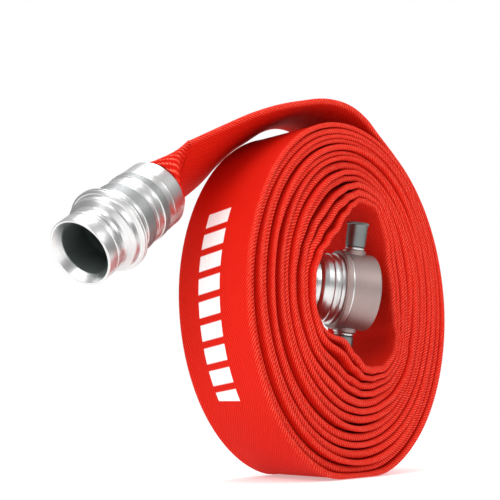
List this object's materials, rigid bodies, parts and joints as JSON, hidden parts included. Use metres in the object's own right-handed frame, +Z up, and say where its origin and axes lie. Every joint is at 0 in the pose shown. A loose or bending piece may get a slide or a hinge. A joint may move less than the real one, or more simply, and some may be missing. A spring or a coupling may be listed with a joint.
{
  "type": "rolled fire hose",
  "caption": "Lay-flat fire hose rolled up around its female coupling, standing on its tread, with the free end and male coupling hanging off the top.",
  "frame": {"origin": "on the ground under the middle of the roll, half way along its width", "axes": "+Z up, +Y along the roll's axis away from the face that shows the female coupling, +X across the roll away from the free end"},
  "size_m": [0.5444, 0.1348, 0.4264],
  "materials": {
    "hose_red": "red ribbed rubber cover over a woven jacket, matte with bright worn rib crests",
    "polished_aluminium": "turned and polished, with fine knurled bands",
    "cast_aluminium": "bead-blasted casting",
    "knob_grey": "dark satin grey",
    "steel": "bright steel",
    "seal_rubber": "black moulded rubber"
  },
  "bodies": {
    "roll": {"hose_roll": "hose_red", "hose_female_end": "hose_red", "female_coupling_body": "cast_aluminium", "female_tailpiece": "polished_aluminium", "female_ferrule": "polished_aluminium", "female_seal": "seal_rubber", "lug_bush_1": "polished_aluminium", "lug_bush_2": "polished_aluminium", "lug_spring_1": "steel", "lug_spring_2": "steel"},
    "free_end": {"hose_free_run": "hose_red", "hose_male_end": "hose_red", "male_coupling_body": "polished_aluminium", "male_tailpiece": "polished_aluminium", "male_ferrule": "polished_aluminium"},
    "lug_1": {"lug_plunger_1": "steel", "lug_knob_1": "knob_grey", "lug_pin_1": "steel"},
    "lug_2": {"lug_plunger_2": "steel", "lug_knob_2": "knob_grey", "lug_pin_2": "steel"}
  },
  "joints": [
    {"name": "free_end_lift", "type": "hinge", "parent": "roll", "child": "free_end", "pos_m": [0.0491, 0, 0.4042], "axis": [0, 1, 0], "range_deg": [0, 35]},
    {"name": "lug_1_pull", "type": "slide", "parent": "roll", "child": "lug_1", "axis": [-0.0159, -0.1931, 0.9811], "range_m": [0, 0.006], "stiffness_N_per_m": 2500, "springref_m": -0.006, "deforming": ["lug_spring_1"]},
    {"name": "lug_2_pull", "type": "slide", "parent": "roll", "child": "lug_2", "axis": [0.0159, 0.1931, -0.9811], "range_m": [0, 0.006], "stiffness_N_per_m": 2500, "springref_m": -0.006, "deforming": ["lug_spring_2"]}
  ]
}
